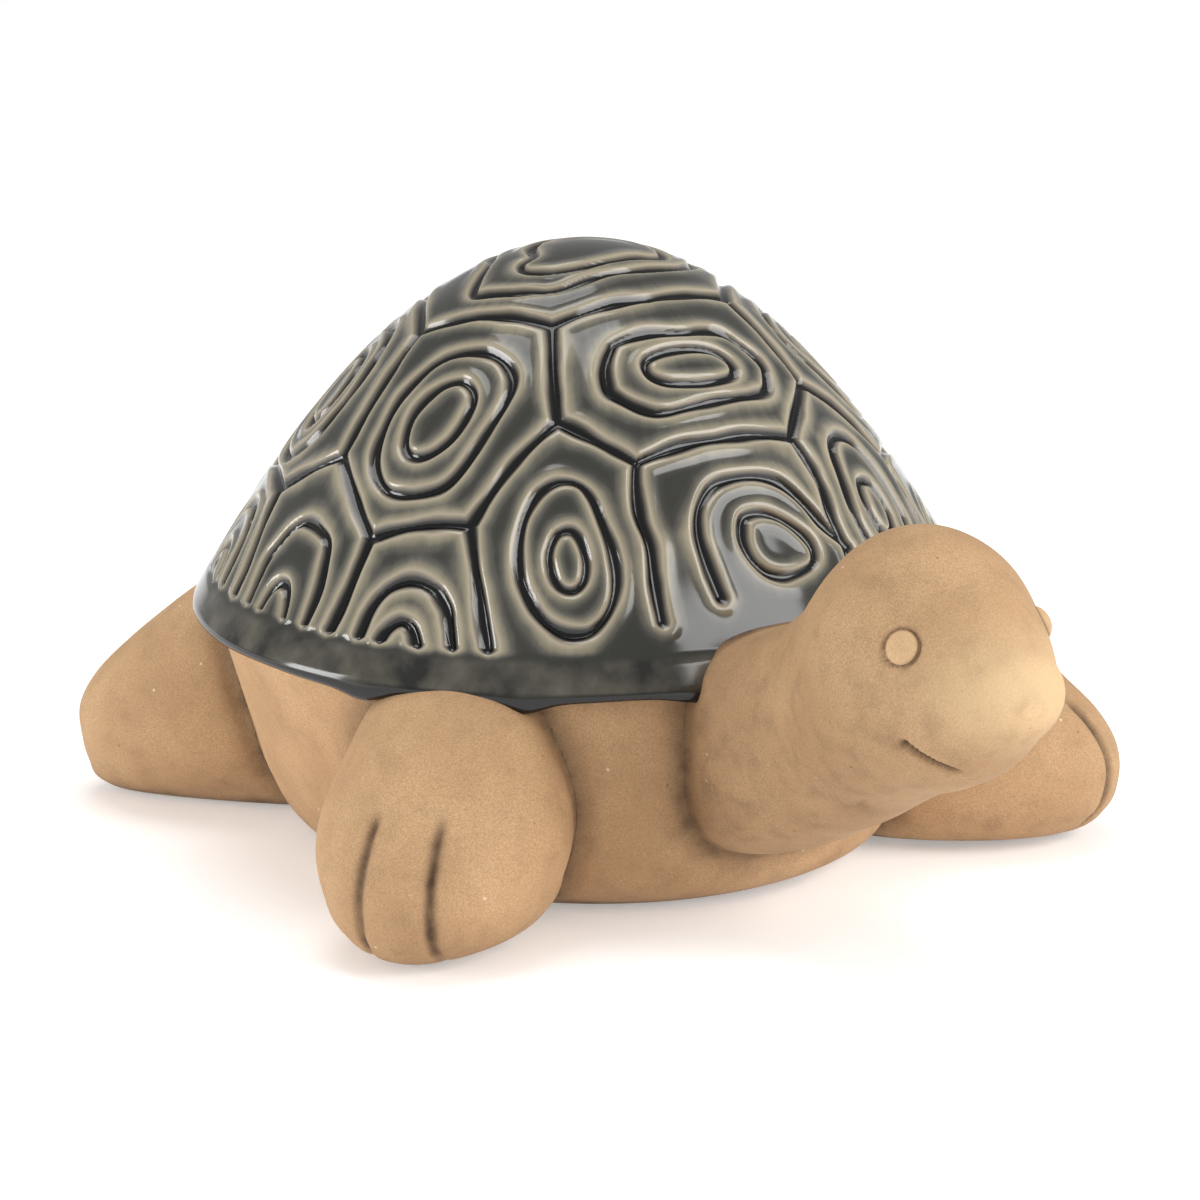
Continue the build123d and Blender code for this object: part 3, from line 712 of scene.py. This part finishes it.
def rounded_line(line, spacing):
    """A smooth curve through a traced line, as close points on the dome."""
    line = np.array(line, float)
    if np.allclose(line[0], line[-1]):
        padded = np.vstack([line[-2], line, line[1]])
    else:
        padded = np.vstack([2 * line[0] - line[1], line, 2 * line[-1] - line[-2]])
    out = []
    for before, start, end, after in zip(padded, padded[1:], padded[2:], padded[3:]):
        steps = max(2, int(np.linalg.norm(end - start) * arc[-1] / spacing))
        t = np.linspace(0, 1, steps, endpoint=False)[:, None]
        out.append(0.5 * (2 * start + (end - before) * t
                          + (2 * before - 5 * start + 4 * end - after) * t**2
                          + (3 * start - before - 3 * end + after) * t**3))
    return on_shell(np.vstack(out + [line[-1:]]))


def nearest(lines, points):
    """The distance of each point from the nearest of some lines on the dome."""
    runs = [rounded_line(line, 0.6) for line in lines]
    samples = np.vstack(runs)
    before = np.vstack([np.vstack([run[:1], run[:-1]]) for run in runs])
    after = np.vstack([np.vstack([run[1:], run[-1:]]) for run in runs])
    tree = KDTree(len(samples))
    for count, sample in enumerate(samples):
        tree.insert(sample, count)
    tree.balance()
    found = np.array([tree.find(point)[1] for point in points])
    best = np.full(len(points), 1e9)
    for other in (before, after):
        start, run = samples[found], other[found] - samples[found]
        along = ((points - start) * run).sum(1)
        share = np.clip(along / np.maximum((run * run).sum(1), 1e-9), 0, 1)
        best = np.minimum(best, np.linalg.norm(points - start - run * share[:, None], axis=1))
    return best


# the dome's outside as rings of points from the top down
rings_of_points, rings = [], []
start = 0
steps = int(arc[-1] / shell_spacing)
for step in range(steps + 1):
    length = step / steps
    share = np.interp(length * arc[-1], arc, shares)
    count = max(1, int(round(2 * math.pi * share * mean_radius / shell_spacing)))
    angle = 2 * np.pi * np.arange(count) / count
    rings_of_points.append(np.stack([length * np.sin(angle), -length * np.cos(angle)], -1))
    rings.append((start, count))
    start += count
plan = np.vstack(rings_of_points)
outside = on_shell(plan)
length = np.linalg.norm(plan, axis=1)
normal = np.stack([2 * shell_rise * outside[:, 0] / shell_half_width**2,
                   2 * shell_rise * outside[:, 1] / shell_half_length**2,
                   np.ones(len(outside))], -1)
normal /= np.linalg.norm(normal, axis=1, keepdims=True)
to_border = nearest(border_lines, outside)
to_ring = nearest(ring_lines, outside)


def ease(value, low, high):
    """0 below low, 1 above high and a smooth change between."""
    t = np.clip((value - low) / (high - low), 0, 1)
    return t * t * (3 - 2 * t)


# the grooves fade out above a plain band, which runs down to the rim
fade = 1 - ease(length, 0.925, 0.965)
near = np.minimum(to_border, to_ring * 1.08)
x, y, z = outside.T
# the cuts are not quite even, as they are made by hand
uneven = 0.2 * np.sin(0.37 * x + 0.21 * z) + 0.14 * np.sin(0.53 * y - 0.33 * x + 0.17 * z)
near = near + uneven * ease(near, 0.2, 1.5)
near = near + 12 * (1 - fade)
band = ease(length, 0.935, 0.955)
groove_depth, groove_half_width, crest_rise, band_rise = 1.25, 2.1, 0.35, 0.5
relief = (-groove_depth * (1 - ease(near, 0.0, groove_half_width))
          + crest_rise * np.exp(-((near - 2.7) / 1.4) ** 2) + band_rise * band)
outside = outside + normal * relief[:, None]
# where the glaze's streaks are: fine across the slope and long down it
flow_angle = np.arctan2(plan[:, 0], -plan[:, 1])
flow = np.stack([0.055 * np.cos(flow_angle), 0.055 * np.sin(flow_angle), 0.018 * length], -1)

# The rim's bead of glaze with a few low drips (angle from the front, depth, half width in
# degrees), and the plain inside of the dome. Each step of the lip goes out, down and droops.
drips = [
    (-40, 2.4, 4), (-64, 1.8, 4), (-14, 1.4, 5), (22, 1.2, 6), (70, 1.0, 8), (130, 1.3, 7),
    (-120, 1.2, 6)]
rim_count = rings[-1][1]
rim_angle = 2 * np.pi * np.arange(rim_count) / rim_count
droop = np.zeros(rim_count)
for middle, depth, width in drips:
    off = (np.degrees(rim_angle) - middle + 180) % 360 - 180
    droop += depth * np.exp(-(off / width) ** 2)
droop += 0.35 * np.sin(5 * rim_angle + 1) + 0.25 * np.sin(11 * rim_angle + 2)
lip = [
    (0.75, -0.7, 0.4), (0.6, -1.6, 0.9), (0.0, -2.3, 1.0), (-1.2, -2.4, 0.9),
    (-2.4, -1.6, 0.5), (-3.4, 0.0, 0.1), (-5.0, 1.0, 0.0)]
extra = []
for out, down, share in lip:
    radius_x, radius_y = shell_half_width + out, shell_half_length + out
    extra.append(np.stack([radius_x * np.sin(rim_angle), -radius_y * np.cos(rim_angle),
                           shell_foot + down - share * droop], -1))
    rings.append((start, rim_count))
    start += rim_count
inner_half_width, inner_half_length, inner_rise, inner_steps = 82, 77, 72.0, 14
for step in range(inner_steps, -1, -1):
    share = step / inner_steps
    count = max(1, int(round(160 * share)))
    angle = 2 * np.pi * np.arange(count) / count
    inner_height = shell_foot + 1.2 + inner_rise * (1 - share**2)
    extra.append(np.stack([inner_half_width * share * np.sin(angle),
                           -inner_half_length * share * np.cos(angle),
                           np.full(count, inner_height)], -1))
    rings.append((start, count))
    start += count
points = np.vstack([outside] + extra)


def stitch(rings):
    """Triangles between rings of different counts, each started at the same angle."""
    faces = []
    for (a, na), (b, nb) in zip(rings[:-1], rings[1:]):
        i = j = 0
        while i < na * (na > 1) or j < nb * (nb > 1):
            if j >= nb * (nb > 1) or (i < na * (na > 1) and (i + 1) / na <= (j + 1) / nb):
                faces.append((a + i % na, b + j % nb, a + (i + 1) % na))
                i += 1
            else:
                faces.append((a + i % na, b + j % nb, b + (j + 1) % nb))
                j += 1
    return faces


def pad(values, rest):
    """Values of the dome's outside, with one value for the rim and the inside."""
    return np.concatenate([values, np.full(len(points) - len(values), rest)])


values = {"near": pad(np.clip(near / 8, 0, 1.2), 1.2), "band": pad(band, 2),
          "flow": np.vstack([flow, np.tile(flow[-1], (len(points) - len(flow), 1))])}

# Glaze: dark grey-green and glossy, black where it pools, cream where it runs thin
glaze, tree = new_material("shell_glaze_dark")
place = node(tree, "ShaderNodeTexCoord", {}).outputs["Object"]
near_in = node(tree, "ShaderNodeAttribute", {}, attribute_name="near").outputs["Fac"]
band_in = node(tree, "ShaderNodeAttribute", {}, attribute_name="band").outputs["Fac"]
flow_in = node(tree, "ShaderNodeAttribute", {}, attribute_name="flow").outputs["Vector"]
# streaks a millimetre or two wide that run down the slope, and clouds of about 10 mm
streaks = node(tree, "ShaderNodeTexNoise", {
    "Vector": flow_in, "Scale": 420.0, "Detail": 5.0, "Roughness": 0.6}).outputs["Fac"]
clouds = node(tree, "ShaderNodeTexNoise", {
    "Vector": place, "Scale": 90.0, "Detail": 5.0}).outputs["Fac"]
streak_part = node(tree, "ShaderNodeMapRange", {
    "Value": streaks, "From Min": 0.3, "From Max": 0.7,
    "To Min": -0.05, "To Max": 0.05}).outputs[0]
cloud_part = node(tree, "ShaderNodeMapRange", {
    "Value": clouds, "From Min": 0.3, "From Max": 0.7, "To Min": -0.09, "To Max": 0.09}).outputs[0]
wander = node(tree, "ShaderNodeMath", {0: streak_part, 1: cloud_part}, operation="ADD").outputs[0]
in_field = node(tree, "ShaderNodeMapRange", {
    "Value": near_in, "From Min": 0.2, "From Max": 0.6}).outputs[0]
# pools are wide in one place and narrow in the next
pools = node(tree, "ShaderNodeTexNoise", {
    "Vector": place, "Scale": 38.0, "Detail": 3.0}).outputs["Fac"]
pool_share = node(tree, "ShaderNodeMapRange", {
    "Value": pools, "From Min": 0.35, "From Max": 0.65, "To Min": 0.85, "To Max": 1.5}).outputs[0]
spread = node(tree, "ShaderNodeMath", {0: near_in, 1: pool_share}, operation="MULTIPLY").outputs[0]
depth = node(tree, "ShaderNodeMath", {0: wander, 1: in_field, 2: spread},
             operation="MULTIPLY_ADD").outputs[0]
colours = node(tree, "ShaderNodeValToRGB", {"Fac": depth})
ramp = colours.color_ramp
ramp.elements[0].position = 0.07
ramp.elements[0].color = linear("#050608")
ramp.elements[1].position = 0.95
ramp.elements[1].color = linear("#34342F")
for position, code in ((0.12, "#262522"), (0.19, "#736C61"), (0.27, "#A79C87"), (0.38, "#89826F"),
                       (0.55, "#5C5A52"), (0.75, "#3D3C37")):
    ramp.elements.new(position).color = linear(code)
# the band at the rim, where the glaze is thick and even
band_tone = node(tree, "ShaderNodeValToRGB", {"Fac": clouds})
band_tone.color_ramp.elements[0].position = 0.35
band_tone.color_ramp.elements[0].color = linear("#242422")
band_tone.color_ramp.elements[1].position = 0.66
band_tone.color_ramp.elements[1].color = linear("#5E5A50")
banded = node(tree, "ShaderNodeMix", {
    "Factor": band_in, "A": colours.outputs[0], "B": band_tone.outputs[0]},
    data_type="RGBA", clamp_factor=True)
# the bead at the very edge, where it is black
bead_share = node(tree, "ShaderNodeMath", {0: band_in, 1: 1.0}, operation="SUBTRACT",
                  use_clamp=True).outputs[0]
beaded = node(tree, "ShaderNodeMix", {
    "Factor": bead_share, "A": banded.outputs["Result"], "B": linear("#0B0C0D")},
    data_type="RGBA")
shader = node(tree, "ShaderNodeBsdfPrincipled", {
    "Base Color": beaded.outputs["Result"], "Roughness": 0.12, "IOR": 1.5})
node(tree, "ShaderNodeOutputMaterial", {"Surface": shader.outputs[0]})

shell = make_piece("shell_dome", points, stitch(rings), glaze, values)
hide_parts("carapace")
